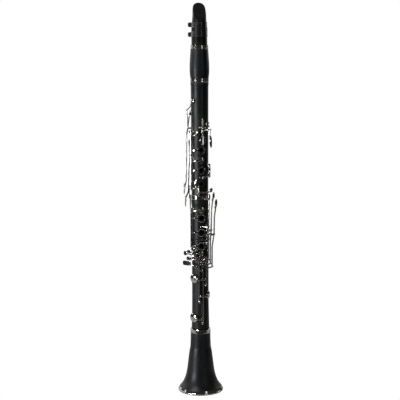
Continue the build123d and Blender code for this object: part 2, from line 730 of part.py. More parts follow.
def make_register_key():
    hinge = UPPER_HINGES["register"]
    hole = UPPER_HOLES["register"]
    key = Key("register_key", hinge, at(BACK, 20, 442), travel=5.0)
    crown = hole.seat + PAD_THICKNESS + 0.9
    bar = profile_bar(BACK, 0, [(492, crown), (481, 19.6), (463, 20.0), (449, 18.6)], 3.0, 1.8)
    touch = shell(Ellipse(4.6, 6.6), facing(BACK, 3, 443), 18.0, 1.9)
    return key.add(hinge.tube(), bar, touch).cover(hole)


def make_thumb_ring_key():
    hinge = UPPER_HINGES["thumb"]
    key = Key("thumb_ring_key", hinge, at(BACK, 17, THUMB_HOLE.height), travel=5.0, stands_open=True)
    side = THUMB_HOLE.ring_side(1)
    ring_bar = strap([hinge.point(7), at(-140, 18.4, 428), side], 2.6, 1.7)
    root = hinge.point(LINK_HEIGHT - hinge.height)
    link = strap([root, at(-104, 15.8, LINK_HEIGHT), at(-88, 15.4, LINK_HEIGHT)], 2.6, 0.8)
    return key.add(hinge.tube(), THUMB_HOLE.ring(), ring_bar).add_as_rests(link)


def make_index_ring_key():
    hinge = UPPER_HINGES["index_ring"]
    hole = UPPER_HOLES["f_sharp"]
    key = Key("index_ring_key", hinge, at(0, 17, INDEX_HOLE.height), travel=5.0, stands_open=True)
    root = hinge.point(LINK_HEIGHT - hinge.height)
    link = strap([root, at(-78, 17.0, LINK_HEIGHT), at(-93, 16.5, LINK_HEIGHT)], 2.6, 0.9)
    key.add(hinge.tube(), INDEX_HOLE.ring(), ring_arm(hinge, INDEX_HOLE), arm(hinge, 33, hole))
    return key.add_as_rests(link).cover(hole)


def make_bridge_ring_key():
    hinge = UPPER_HINGES["bridge_ring"]
    hole = UPPER_HOLES["bridge"]
    key = Key("bridge_ring_key", hinge, at(0, 17, MIDDLE_HOLE.height), travel=5.0, stands_open=True)
    lug = shell(RectangleRounded(3.4, 22, 1.2), facing(BRIDGE, 3, 348.5), 18.7, 1.2)
    tie = strap([hinge.point(3.6), at(-72, 19.2, 358.6), at(BRIDGE, 19.3, 358.0)], 2.6, 1.2)
    key.add(hinge.tube(), MIDDLE_HOLE.ring(), ring_arm(hinge, MIDDLE_HOLE), arm(hinge, 46.3, hole, lift=0.4))
    return key.add_as_rests(tie, lug).cover(hole)


def make_throat_a_key():
    hinge = UPPER_HINGES["throat_a"]
    hole = UPPER_HOLES["throat_a"]
    key = Key("throat_a_key", hinge, at(4, 19, 438), travel=6.0)
    crown = hole.seat + PAD_THICKNESS + 1.0
    bar = profile_bar(4, 0, [(470, crown), (463, 18.9), (459, 19.6), (444, 19.6)], 2.8, 1.8)
    touch = shell(Ellipse(4.8, 8.0), facing(5, 3, 437.5), 18.4, 1.7)
    return key.add(hinge.tube(), bar, touch).cover(hole)


def make_throat_g_sharp_key():
    hinge = UPPER_HINGES["throat_g_sharp"]
    hole = UPPER_HOLES["throat_g_sharp"]
    key = Key("throat_g_sharp_key", hinge, at(50, 21, 434), travel=6.0)
    crown = hole.seat + PAD_THICKNESS + 1.0
    line = [(465, crown), (459, 18.8), (454, 19.6), (448, 19.8), (440, 21.2)]
    bar = profile_bar(48, 0, line, 2.8, 1.8, bend=2)
    touch = shell(Ellipse(3.6, 10.0), facing(51, 3, 434, turn=6), 20.6, 1.6)
    return key.add(hinge.tube(), bar, touch).cover(hole)


def side_key(name, hinge, hole, shift, neck, below, touch, tube, opening):
    """A side key: a long bar on a crosswise hinge, a cup above and a spoon-shaped touch below.

    neck is where the bar turns off towards the cup, below the bar's line under the hinge, touch the spoon's
    (height, radius, shift), tube the ends of its share of the hinge rod, and opening how far the pad rises.
    """
    height, radius, touch_shift = touch
    key = Key(name, hinge, at(SIDE, 24, height), travel=math.degrees(opening / (hole.height - hinge.height)))
    top = hinge.radius + 0.9
    key.add(profile_bar(SIDE, shift, [neck, (hinge.height, top)] + below, 2.2, 2.0))
    bend = at(SIDE, neck[1], neck[0] - 0.8, shift)
    over = hole.crown() + outward(hole.angle) * 0.9 + Vector(0, 0, -3.5)
    key.add(pipe([bend, over, hole.crown()], 1.15))
    key.add(spoon(Ellipse(3.3, 8.8), SIDE, height, touch_shift, radius, 1.5))
    return key.add(hinge.tube(*tube)).cover(hole)


def make_side_keys():
    trill, third, fourth = (UPPER_HINGES[n] for n in ("trill", "side_3", "side_4"))
    upper_line = [(446, 22.3), (412, 22.9), (366, 23.7), (357, 26.4)]
    lower_line = [(347, 20.0), (338, 24.4)]
    middle = trill.length / 2
    return [
        side_key("side_key_1", trill, UPPER_HOLES["trill_1"], 4.3, (488, 22.2), upper_line, (354, 26.2, 5.3),
                 (middle + FIT, trill.length - POST_GAP), 0.9),
        side_key("side_key_2", trill, UPPER_HOLES["trill_2"], 0.3, (470, 18.5), upper_line, (354, 26.2, -3.2),
                 (POST_GAP, middle - FIT), 0.8),
        side_key("side_key_3", third, UPPER_HOLES["side_3"], 2.7, (430, 18.4), lower_line, (332, 24.3, 3.4),
                 (POST_GAP, third.length - POST_GAP), 0.8),
        side_key("side_key_4", fourth, UPPER_HOLES["side_4"], -4.2, (390, 18.4), lower_line,
                 (332, 24.3, -3.8), (POST_GAP, fourth.length - POST_GAP), 0.9),
    ]


def make_c_sharp_key():
    hinge = UPPER_HINGES["c_sharp"]
    hole = UPPER_HOLES["c_sharp"]
    key = Key("c_sharp_g_sharp_key", hinge, at(50, 22, 352), travel=7.0)
    bar = strap([hinge.point(4), at(0, 19.4, 349), at(24, 19.8, 348.6), at(44, 21.4, 350.5)], 2.4, 2.0)
    neck = pipe([hinge.point(6.5), at(-31, 18.2, 358.5), hole.crown()], 1.2)
    touch = shell(Ellipse(5.4, 3.6), facing(50, 3, 352, turn=18), 20.9, 1.7)
    return key.add(hinge.tube(), bar, neck, touch).cover(hole)


def make_e_flat_key():
    hinge = UPPER_HINGES["e_flat"]
    hole = UPPER_HOLES["e_flat"]
    key = Key("e_flat_b_flat_key", hinge, at(0, 17, 374), travel=7.0)
    touch = shell(SlotOverall(11.5, 4.4, rotation=-6), facing(4, 3, 374), 17.2, 1.5)
    bar = strap([hinge.point(4.2), at(36, 18.6, 377.5), at(14, 18.0, 374.8)], 2.4, 1.8)
    return key.add(hinge.tube(), touch, bar, arm(hinge, 11, hole)).cover(hole)


# ---------------------------------------------------------------- keys of the lower joint


def make_lower_ring_key():
    hinge = LOWER_HINGES["rings"]
    hole = LOWER_HOLES["vent"]
    key = Key("lower_ring_key", hinge, at(0, 17, 280), travel=5.0, stands_open=True)
    for finger in RIGHT_HOLES:
        key.add(finger.ring(), ring_arm(hinge, finger))
    lug = shell(RectangleRounded(3.4, 27, 1.2), facing(BRIDGE, 3, 330.5), 17.2, 1.2)
    tie = strap([hinge.point(63.7), at(-72, 17.8, 316.5), at(BRIDGE, 17.8, 318.5)], 2.6, 1.2)
    key.add(hinge.tube(), arm(hinge, 63.7, hole, lift=0.2))
    return key.add_as_rests(tie, lug).cover(hole)


def make_sliver_key():
    hinge = LOWER_HINGES["sliver"]
    hole = LOWER_HOLES["sliver"]
    key = Key("b_f_sharp_key", hinge, at(-20, 17, 268), travel=7.0)
    touch = shell(SlotOverall(13, 4.2, rotation=4), facing(-16, 3, 268.4), 17.3, 1.5)
    bar = strap([hinge.point(6.6), at(14, 18.4, 268.2), at(-2, 18.0, 268.2)], 2.4, 1.8)
    return key.add(hinge.tube(), touch, bar, arm(hinge, 6.5, hole)).cover(hole)


TOUCH_PLANE = -55  # the right little-finger touches stand off the body along this angle


def wing(shift, height, length, tall, radius=21.0):
    """A little-finger touch: a gently curved plate that reaches sideways past the body."""
    bow = 46.0
    centre = at(TOUCH_PLANE, radius - bow, 0, -9)
    outline = RectangleRounded(length, tall, min(length, tall) * 0.42)
    plane = facing(TOUCH_PLANE, 3, height, shift)
    return shell(outline, plane, bow, 1.6, centre=(centre.X, centre.Y))


def crossing(hinge, start_height, end_height, end_shift, over=21.4, width=2.3):
    """A lever across the front, from a hinge tube to a little-finger touch on the player's right."""
    start = hinge.point(start_height - hinge.height)
    near, far = hinge.angle - 15, TOUCH_PLANE + 14
    rise = end_height - start_height
    path = [start, at(near, over, start_height + 0.2 * rise), at(far, over + 0.5, start_height + 0.8 * rise)]
    return strap(path + [at(TOUCH_PLANE, 21.7, end_height, end_shift)], width, 2.0)


def over_foot(shift, thickness=1.3):
    """How far out the middle of a tail lies where it rests on the lower end of a left lever."""
    corner = math.hypot(LEVER_FOOT + 0.95, abs(shift) + 1.1)
    return corner + 0.12 + thickness / 2


def tail(hinge, height, path, thickness=1.3):
    """A short arm on the player's left of a hinge, which a left little-finger lever lifts."""
    start = hinge.point(height - hinge.height)
    return strap([start] + [at(angle, radius, height) for angle, radius in path], 2.4, thickness)


def make_a_flat_key():
    hinge = LOWER_HINGES["a_flat"]
    hole = LOWER_HOLES["a_flat"]
    key = Key("a_flat_e_flat_key", hinge, at(-60, 24, 246), travel=7.0)
    bar = strap([hinge.point(8.2), at(-44, 20.2, 246), at(TOUCH_PLANE, 21.8, 246.3, -2.0)], 2.6, 2.0)
    return key.add(hinge.tube(), wing(-5.0, 246.5, 9.4, 5.2), bar, arm(hinge, 6.2, hole)).cover(hole)


def make_f_c_key():
    hinge = LOWER_HINGES["f_c"]
    hole = LOWER_HOLES["f"]
    key = Key("f_c_key", hinge, at(-60, 24, 236), travel=8.0, stands_open=True)
    reach = strap([hinge.point(10), at(-3, 21.4, 199.6), at(-26, 20.8, 199.8), hole.crown()], 2.8, 2.0)
    key.add(hinge.tube(), wing(-5.0, 235.4, 9.8, 6.4), crossing(hinge, 228.6, 235.2, -2.0), reach)
    foot = over_foot(LEVER_SHIFTS[2])
    return key.add_as_rests(tail(hinge, 219.5, [(38, foot - 0.4), (56, foot), (72, foot)])).cover(hole)


def make_e_b_key():
    hinge = LOWER_HINGES["e_b"]
    hole = LOWER_HOLES["e"]
    key = Key("e_b_key", hinge, at(-66, 28, 226), travel=8.0, stands_open=True)
    reach = strap([hinge.point(7.5), at(-24, 20.0, 130), hole.crown()], 2.8, 2.0)
    key.add(hinge.tube(), wing(-10.0, 226.6, 17.0, 8.0), crossing(hinge, 213.5, 225.6, -3.0), reach)
    foot = over_foot(LEVER_SHIFTS[0])
    return key.add_as_rests(tail(hinge, 233.2, [(19, foot - 0.6), (34, foot)])).cover(hole)


def make_f_sharp_key():
    hinge = LOWER_HINGES["f_sharp"]
    hole = LOWER_HOLES["f_sharp"]
    key = Key("f_sharp_c_sharp_key", hinge, at(-66, 26, 241), travel=6.0)
    reach = strap([hinge.point(10), at(-3, 20.9, 170), at(28, 20.2, 170), hole.crown()], 2.8, 1.9)
    path = [at(-33, 22.1, 238.2), at(-45, 22.3, 240.4), at(TOUCH_PLANE, 22.0, 241.2, -10.5)]
    lever = strap([hinge.point(74.3)] + path, 2.0, 1.9)
    foot = over_foot(LEVER_SHIFTS[1])
    lug = tail(hinge, 225.4, [(2, 21.3), (19, 22.0), (36, foot + 0.3), (54, foot)])
    return key.add(hinge.tube(), wing(-14.6, 242.6, 8.4, 7.6), lever, reach, lug).cover(hole)


# ---------------------------------------------------------------- left little-finger levers


def make_levers():
    """Three long levers on crosswise hinges; the lower end of each lies under a tail of a right-hand key."""
    specs = [
        ("left_e_b_lever", "lever_e_b", 231.6, (341.0, 20.6, -7.9), Ellipse(3.6, 5.0)),
        ("left_f_sharp_lever", "lever_f_sharp", 223.8, (343.0, 24.6, 0.6), Ellipse(3.8, 5.4)),
        ("left_f_c_lever", "lever_f_c", 217.9, (329.5, 26.6, 6.6), Ellipse(3.8, 6.6)),
    ]
    keys = []
    for (name, hinge_name, low, (high, radius, touch_shift), outline), shift in zip(specs, LEVER_SHIFTS):
        hinge = LOWER_HINGES[hinge_name]
        key = Key(name, hinge, at(LEVERS, 25, 335), travel=LEVER_TRAVEL[name])
        top = hinge.radius + 1.3
        line = [(low, LEVER_FOOT), (hinge.height - 22, LEVER_FOOT + 0.2), (hinge.height, top)]
        line += [(high - 24, top + 0.8), (high - 2, radius + 0.9)]
        key.add(profile_bar(LEVERS, shift, line, 2.2, 1.9, bend=2.5))
        key.add(spoon(outline, LEVERS, high, touch_shift, radius, 1.6))
        keys.append(key.add(hinge.tube()))
    return keys


# ---------------------------------------------------------------- thumb rest and metal fittings

REST_HEIGHT = 292.0
REST_SCREWS = (-9.0, 9.0)  # above and below the middle of the rest


def make_thumb_rest():
    """A curved saddle screwed to the back, with a hook for the right thumb and two slots for its screws."""
    seat = lower_radius(REST_HEIGHT) + 0.05
    saddle = shell(RectangleRounded(12, 26, 4), facing(BACK, 3, REST_HEIGHT), seat, 1.5)
    reach = [(0.8, 3), (8, 2.2), (17, -2)]
    path = [at(BACK, seat + out, REST_HEIGHT + rise) for out, rise in reach]
    hook = strap(path, 12.0, 2.2, lead=(1, 0, 0))
    rest = saddle + hook
    for offset in REST_SCREWS:
        rest -= disc(facing(BACK, seat - 1, REST_HEIGHT + offset), 1.35, 0, 6)
    return rest


def thumb_rest_screws():
    """Two countersunk screws that hold the thumb rest."""
    seat = lower_radius(REST_HEIGHT)
    screws = []
    for offset in REST_SCREWS:
        plane = facing(BACK, seat, REST_HEIGHT + offset)
        outline = [(0, -3.2), (1.15, -3.2), (1.15, 1.75), (2.3, 1.75), (2.2, 2.3), (1.2, 2.7), (0, 2.8)]
        screw = turned_about(plane, outline)
        slot = extrude(facing(BACK, seat + 2.35, REST_HEIGHT + offset) * Rectangle(5, 0.5), amount=2)
        screws.append(screw - slot)
    return screws


def thumb_rest_cuts():
    return [disc(facing(BACK, 0, REST_HEIGHT + offset), 1.2, 10.5, 16) for offset in REST_SCREWS]


def metal_tubes():
    """The thumb hole's bush and the register vent's tube, pressed into the body."""
    bush = turned_about(THUMB_HOLE.plane, [(2.9, -8.6), (3.6, -8.6), (3.6, 0.25), (3.2, 0.45), (2.9, 0.25)])
    vent = UPPER_HOLES["register"]
    tube = turned_about(vent.plane, [(0.9, -10.5), (1.6, -10.5), (1.6, 0), (0.9, 0)])
    return [bush, tube]


# ---------------------------------------------------------------- the whole instrument


def keys():
    """Every key, in the order that a repairer takes them off."""
    upper = [make_register_key(), make_thumb_ring_key(), make_throat_a_key(), make_throat_g_sharp_key()]
    upper += [make_index_ring_key(), make_bridge_ring_key()] + make_side_keys()
    upper += [make_c_sharp_key(), make_e_flat_key()]
    lower = [make_lower_ring_key(), make_sliver_key(), make_a_flat_key()]
    lower += [make_f_sharp_key(), make_f_c_key(), make_e_b_key()] + make_levers()
    return upper, lower


def main():
    upper_hinges, lower_hinges = list(UPPER_HINGES.values()), list(LOWER_HINGES.values())
    export("mouthpiece", [make_mouthpiece()])
    export("mouthpiece_cork", [cork(BARREL_TOP - CORK_HIGH, BARREL_TOP - CORK_LOW)])
    export("reed", [make_reed()])
    export("ligature", [make_ligature()])
    for name, height in LIGATURE_SCREWS.items():
        export(name, [make_ligature_screw(height)])
    export("barrel", [make_barrel()])
    low, high = UPPER_TOP, BARREL_TOP
    rings = [make_socket_ring(14.4, 15.9, low, low + 7), make_socket_ring(13.8, 15.2, high - 7, high)]
    export("barrel_rings", rings)
    export("upper_joint", [make_upper_joint(upper_hinges)])
    top_cork = cork(UPPER_TOP + CORK_LOW, UPPER_TOP + CORK_HIGH)
    foot_cork = cork(LOWER_TOP - CORK_HIGH, LOWER_TOP - CORK_LOW)
    export("upper_joint_corks", [top_cork, foot_cork])
    export("upper_posts", [post for hinge in upper_hinges for post in hinge.posts()] + metal_tubes())
    export("upper_hinge_rods", [hinge.rod() for hinge in upper_hinges])
    export("upper_springs", [hinge.spring() for hinge in upper_hinges if hinge.along == "z"])
    lower = make_lower_joint(lower_hinges)
    for cut in thumb_rest_cuts():
        lower -= cut
    export("lower_joint", [lower])
    cork_radius = TENON_RADIUS + BELL_TENON_GROWTH
    export("lower_joint_cork", [cork(BELL_TOP - CORK_HIGH, BELL_TOP - CORK_LOW, cork_radius)])
    socket_ring = make_socket_ring(SOCKET_RADIUS - 1.2, SOCKET_RADIUS + 0.6, LOWER_TOP - 7.6, LOWER_TOP)
    export("lower_joint_ring", [socket_ring])
    export("lower_posts", [post for hinge in lower_hinges for post in hinge.posts()])
    export("lower_hinge_rods", [hinge.rod() for hinge in lower_hinges] + thumb_rest_screws())
    export("lower_springs", [hinge.spring() for hinge in lower_hinges if hinge.along == "z"])
    export("thumb_rest", [make_thumb_rest()])
    export("bell", [make_bell()])
    export("bell_rings", make_bell_rings())
    for key in sum(keys(), []):
        key.write()


if __name__ == "__main__":
    main()
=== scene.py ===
"""The looks of the clarinet: materials, cork bumpers under the touches, light, floor and camera.

Everything is in metres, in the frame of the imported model: +Z up the bore, the finger holes face -Y.
"""

import json
import math
import random

import bmesh
import bpy
from mathutils import Matrix, Vector


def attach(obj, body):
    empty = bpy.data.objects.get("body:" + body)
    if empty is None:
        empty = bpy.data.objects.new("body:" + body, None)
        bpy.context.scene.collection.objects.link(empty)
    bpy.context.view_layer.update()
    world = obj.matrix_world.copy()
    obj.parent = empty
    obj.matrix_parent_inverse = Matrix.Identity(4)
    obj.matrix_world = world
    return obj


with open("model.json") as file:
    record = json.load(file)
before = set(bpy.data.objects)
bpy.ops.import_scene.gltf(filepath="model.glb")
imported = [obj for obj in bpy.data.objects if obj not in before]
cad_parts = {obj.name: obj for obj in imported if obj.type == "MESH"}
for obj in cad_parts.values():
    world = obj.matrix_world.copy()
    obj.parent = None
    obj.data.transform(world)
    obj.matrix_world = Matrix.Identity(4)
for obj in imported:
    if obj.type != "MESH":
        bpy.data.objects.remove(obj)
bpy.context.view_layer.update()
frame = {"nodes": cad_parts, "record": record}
nodes = frame["nodes"]
record = frame["record"]
random.seed(11)

SLOT_OF = {entry["node"]: entry["material_slot"] for entry in record["subparts"]}
BODY_OF = {node: body for body, members in record["behaviour"]["bodies"].items() for node in members}

# ---------------------------------------------------------------- shader helper


class Shader:
    """A material's node tree around one Principled shader, with short ways to add what it needs."""

    def __init__(self, name):
        self.material = bpy.data.materials.new(name)
        self.material.use_nodes = True
        self.tree = self.material.node_tree
        self.principled = self.tree.nodes["Principled BSDF"]
        self.place = self.node("ShaderNodeTexCoord").outputs["Object"]

    def node(self, kind, **settings):
        made = self.tree.nodes.new(kind)
        for key, value in settings.items():
            setattr(made, key, value)
        return made

    def link(self, output, socket):
        self.tree.links.new(output, socket)

    def colour(self, output):
        self.link(output, self.principled.inputs["Base Color"])

    def roughness(self, output):
        self.link(output, self.principled.inputs["Roughness"])

    def noise(self, scale, detail, stretch=(1, 1, 1), rough=0.6):
        """A noise value in 0..1. A small stretch number draws the noise out along that axis."""
        mapping = self.node("ShaderNodeMapping")
        mapping.inputs["Scale"].default_value = stretch
        self.link(self.place, mapping.inputs["Vector"])
        texture = self.node("ShaderNodeTexNoise")
        texture.inputs["Scale"].default_value = scale
        texture.inputs["Detail"].default_value = detail
        texture.inputs["Roughness"].default_value = rough
        self.link(mapping.outputs["Vector"], texture.inputs["Vector"])
        return texture.outputs["Fac"]

    def cells(self, scale):
        """Distance to the nearest of many scattered points."""
        texture = self.node("ShaderNodeTexVoronoi")
        texture.inputs["Scale"].default_value = scale
        self.link(self.place, texture.inputs["Vector"])
        return texture.outputs["Distance"]

    def ramp(self, value, low, high, at_low=0.0, at_high=1.0):
        """Maps a range of a value to another."""
        mapped = self.node("ShaderNodeMapRange")
        for key, number in (("From Min", low), ("From Max", high), ("To Min", at_low), ("To Max", at_high)):
            mapped.inputs[key].default_value = number
        self.link(value, mapped.inputs["Value"])
        return mapped.outputs["Result"]

    def blend(self, factor, first, second):
        """A colour between two colours."""
        mix = self.node("ShaderNodeMix", data_type="RGBA")
        self.link(factor, mix.inputs["Factor"])
        for socket, colour in ((mix.inputs["A"], first), (mix.inputs["B"], second)):
            if isinstance(colour, tuple):
                socket.default_value = (*colour, 1)
            else:
                self.link(colour, socket)
        return mix.outputs["Result"]

    def sum(self, first, second, weight=1.0):
        """first + weight * second."""
        made = self.node("ShaderNodeMath", operation="MULTIPLY_ADD")
        self.link(second, made.inputs[0])
        made.inputs[1].default_value = weight
        self.link(first, made.inputs[2])
        return made.outputs["Value"]

    def bump(self, height, distance):
        made = self.node("ShaderNodeBump")
        made.inputs["Distance"].default_value = distance
        self.link(height, made.inputs["Height"])
        self.link(made.outputs["Normal"], self.principled.inputs["Normal"])

    def set(self, **values):
        """Constants go straight on the shader's own sockets."""
        for key, value in values.items():
            self.principled.inputs[key.replace("_", " ")].default_value = value

    def edges(self, low=0.50, high=0.56):
        """1 on convex edges, where handling wears a surface. With low above high, 1 in concave corners."""
        return self.ramp(self.node("ShaderNodeNewGeometry").outputs["Pointiness"], low, high)


# ---------------------------------------------------------------- materials


def black_resin():
    """Satin black body: a fine lengthwise brushed grain, faint mottling and edges polished by handling."""
    s = Shader("body_black")
    grain = s.noise(900, 6, stretch=(1, 1, 0.035))
    pores = s.noise(2600, 2, stretch=(1, 1, 0.25))
    mottle = s.noise(38, 3)
    worn = s.edges()
    base = s.blend(s.ramp(mottle, 0.3, 0.7), (0.0045, 0.0048, 0.0052), (0.0085, 0.0088, 0.009))
    streaked = s.blend(s.ramp(grain, 0.45, 0.75), base, (0.013, 0.013, 0.0135))
    s.colour(s.blend(worn, streaked, (0.022, 0.022, 0.022)))
    s.roughness(s.sum(s.ramp(grain, 0.3, 0.7, 0.35, 0.45), s.ramp(mottle, 0.35, 0.65, -0.04, 0.04)))
    s.bump(s.sum(grain, pores, 0.5), 0.00003)
    s.set(Specular_IOR_Level=0.4)
    return s.material


def black_rubber():
    """The mouthpiece: smoother than the body, with fine turning marks, smudges and worn edges."""
    s = Shader("mouthpiece_black")
    turning = s.noise(1400, 2, stretch=(0.1, 0.1, 1))
    smudge = s.noise(90, 4)
    base = s.blend(s.ramp(smudge, 0.35, 0.7), (0.004, 0.004, 0.0045), (0.009, 0.0088, 0.0085))
    s.colour(s.blend(s.edges(), base, (0.02, 0.019, 0.018)))
    s.roughness(s.ramp(smudge, 0.3, 0.7, 0.26, 0.40))
    s.bump(turning, 0.00001)
    s.set(Specular_IOR_Level=0.2)
    return s.material


def nickel(name, polished, smeared, warm, wave=0.6):
    """Nickel plate: faint smears, fine polishing lines, and painted shade that darkens the concave corners.

    polished and smeared are roughnesses, warm turns the colour towards yellow, and wave is how much the
    smears dent the surface.
    """
    s = Shader(name)
    smear = s.noise(130, 5)
    lines = s.noise(2400, 3, stretch=(1, 1, 0.12))
    bright = (0.72, 0.70 - warm * 0.02, 0.67 - warm * 0.05)
    dull = (0.52, 0.50 - warm * 0.02, 0.47 - warm * 0.05)
    clean = s.blend(s.ramp(smear, 0.38, 0.72), bright, dull)
    # painted shade: the colour is darkened in concave corners, where shade would fall
    corner = s.edges(0.47, 0.40)
    s.colour(s.blend(corner, clean, (0.20, 0.19, 0.17)))
    s.roughness(s.sum(s.ramp(smear, 0.35, 0.7, polished, smeared), s.ramp(lines, 0.4, 0.6, -0.02, 0.03)))
    s.bump(s.sum(lines, smear, wave), 0.000006)
    s.set(Metallic=1.0)
    return s.material


def lacquer():
    """Black lacquered ligature with brighter edges where the lacquer has rubbed."""
    s = Shader("ligature_black")
    scuff = s.noise(700, 5, stretch=(0.3, 0.3, 1))
    patch = s.noise(120, 3)
    base = s.blend(s.ramp(patch, 0.35, 0.7), (0.008, 0.008, 0.009), (0.018, 0.018, 0.018))
    s.colour(s.blend(s.edges(0.53, 0.60), base, (0.055, 0.052, 0.048)))
    s.roughness(s.ramp(scuff, 0.3, 0.75, 0.22, 0.42))
    s.bump(scuff, 0.000008)
    s.set(Metallic=0.2, Coat_Weight=0.35, Coat_Roughness=0.15)
    return s.material


def cane():
    """Reed cane: straw coloured, with long fibres and darker patches."""
    s = Shader("cane")
    fibres = s.noise(1500, 5, stretch=(1, 1, 0.02))
    bands = s.noise(60, 3, stretch=(1, 1, 0.3))
    straw = s.blend(s.ramp(fibres, 0.35, 0.65), (0.62, 0.44, 0.20), (0.80, 0.66, 0.40))
    s.colour(s.blend(s.ramp(bands, 0.45, 0.7), straw, (0.55, 0.36, 0.15)))
    s.roughness(s.ramp(fibres, 0.3, 0.7, 0.5, 0.68))
    s.bump(fibres, 0.00003)
    return s.material


def cork():
    """Cork of the tenons and bumpers: brown, with dark lenticels and a granular surface."""
    s = Shader("cork")
    grains = s.cells(1300)
    flecks = s.noise(700, 6, stretch=(1, 1, 0.5), rough=0.7)
    brown = s.blend(s.ramp(grains, 0.1, 0.6), (0.40, 0.24, 0.12), (0.58, 0.39, 0.22))
    s.colour(s.blend(s.ramp(flecks, 0.56, 0.68), brown, (0.12, 0.06, 0.03)))
    s.roughness(s.ramp(flecks, 0.3, 0.7, 0.62, 0.85))
    s.bump(s.sum(grains, flecks, -0.8), 0.00012)
    return s.material


def skin_pad():
    """Pads: fine pale skin over felt, a little yellowed and wrinkled."""
    s = Shader("pad_skin")
    felt = s.noise(3200, 4)
    age = s.noise(260, 3)
    s.colour(s.blend(s.ramp(age, 0.35, 0.7), (0.80, 0.74, 0.60), (0.66, 0.56, 0.38)))
    s.roughness(s.ramp(felt, 0.3, 0.7, 0.55, 0.75))
    s.bump(s.sum(felt, age, 1.5), 0.00005)
    s.set(Sheen_Weight=0.3, Subsurface_Weight=0.05)
    return s.material


def steel(name, dark, light, smooth, rough):
    """Bare or blued steel wire and rod, with drawing lines: two colours, and two roughnesses."""
    s = Shader(name)
    drawn = s.noise(2600, 4, stretch=(1, 1, 0.03))
    s.colour(s.blend(s.ramp(drawn, 0.35, 0.7), dark, light))
    s.roughness(s.ramp(drawn, 0.3, 0.7, smooth, rough))
    s.bump(drawn, 0.000008)
    s.set(Metallic=1.0)
    return s.material


MATERIALS = {
    "body_black": black_resin(),
    "mouthpiece_black": black_rubber(),
    "cane": cane(),
    "ligature_black": lacquer(),
    "cork": cork(),
    "blued_steel": steel("blued_steel", (0.05, 0.07, 0.16), (0.12, 0.12, 0.2), 0.25, 0.4),
    "pad_skin": skin_pad(),
    "rings_nickel": nickel("rings_nickel", polished=0.09, smeared=0.15, warm=0.4, wave=0.1),
    "hinge_steel": steel("hinge_steel", (0.5, 0.5, 0.49), (0.7, 0.69, 0.67), 0.22, 0.36),
    "posts_nickel": nickel("posts_nickel", polished=0.08, smeared=0.16, warm=0.3),
    "keys_nickel": nickel("keys_nickel", polished=0.07, smeared=0.15, warm=0.3),
}

for name, thing in nodes.items():
    thing.data.materials.clear()
    thing.data.materials.append(MATERIALS[SLOT_OF[name]])

# ---------------------------------------------------------------- cork bumpers under the touches

# Each key's touch: its angle from the front in degrees, and its height in metres. Where the angle is None,
# it is measured from the key itself at that height.
TOUCHES = {
    "side_key_1": (None, 0.356), "side_key_2": (None, 0.356),
    "side_key_3": (None, 0.334), "side_key_4": (None, 0.334),
    "c_sharp_g_sharp_key": (50, 0.352), "throat_g_sharp_key": (50, 0.434),
    "a_flat_e_flat_key": (-60, 0.246), "f_c_key": (-60, 0.236),
    "e_b_key": (-66, 0.226),
    "left_e_b_lever": (None, 0.335), "left_f_sharp_lever": (None, 0.335), "left_f_c_lever": (None, 0.322),
    "register_key": (180, 0.442),
}
SLICE_HALF_HEIGHT = 0.0008
SEARCH_ASIDE = (0, 2, -2, 4, -4, 7, -7, 10, -10)  # degrees

BUMPER_THICKNESS = 0.0012
BUMPER_SUNK = 0.00015
BUMPER_HALF_WIDTH = 0.0011
BUMPER_HALF_LENGTH = 0.0017
BUMPER_CORNERS = 4  # the power in the outline's formula: 2 is an ellipse, and more is squarer
BUMPER_POINTS = 20
BUMPER_UNEVEN = (0.96, 1.03)
# How far each row of points is below the key's underside, and its share of the full size.
BUMPER_ROWS = ((-BUMPER_SUNK, 1.0), (BUMPER_THICKNESS * 0.75, 0.98), (BUMPER_THICKNESS, 0.86))


def slice_direction(thing, height):
    """The way from the bore's axis to the part of a mesh at one height."""
    corners = [thing.matrix_world @ v.co for v in thing.data.vertices]
    near = min(corners, key=lambda c: abs(c.z - height)).z
    level = [c for c in corners if abs(c.z - near) < SLICE_HALF_HEIGHT]
    middle = sum(level, Vector()) / len(level)
    return Vector((middle.x, middle.y, 0)).normalized()


def find_underside(key, angle, height):
    """The point where a line from the bore's axis first meets the key, near an angle, and its direction."""
    thing = nodes[key]
    if angle is None:
        out = slice_direction(thing, height)
    else:
        out = Vector((math.sin(math.radians(angle)), -math.cos(math.radians(angle)), 0))
    back = thing.matrix_world.inverted()
    for aside in SEARCH_ASIDE:
        way = Matrix.Rotation(math.radians(aside), 3, "Z") @ out
        start = back @ Vector((0, 0, height))
        hit, spot, _normal, _face = thing.ray_cast(start, (back.to_3x3() @ way).normalized())
        if hit:
            return thing.matrix_world @ spot, way
    raise RuntimeError("no underside found for " + key)


def bumper_row(shape, spot, out, depth, spread):
    """One row of points around a bumper, in a rounded rectangle with uneven sides."""
    along = Vector((0, 0, 1))
    across = out.cross(along)
    row = []
    for step in range(BUMPER_POINTS):
        turn = math.tau * step / BUMPER_POINTS
        c, n = math.cos(turn), math.sin(turn)
        bend = (abs(c) ** BUMPER_CORNERS + abs(n) ** BUMPER_CORNERS) ** (-1 / BUMPER_CORNERS)
        bend *= spread * random.uniform(*BUMPER_UNEVEN)
        aside = across * c * bend * BUMPER_HALF_WIDTH + along * n * bend * BUMPER_HALF_LENGTH
        row.append(shape.verts.new(spot - out * depth + aside))
    return row


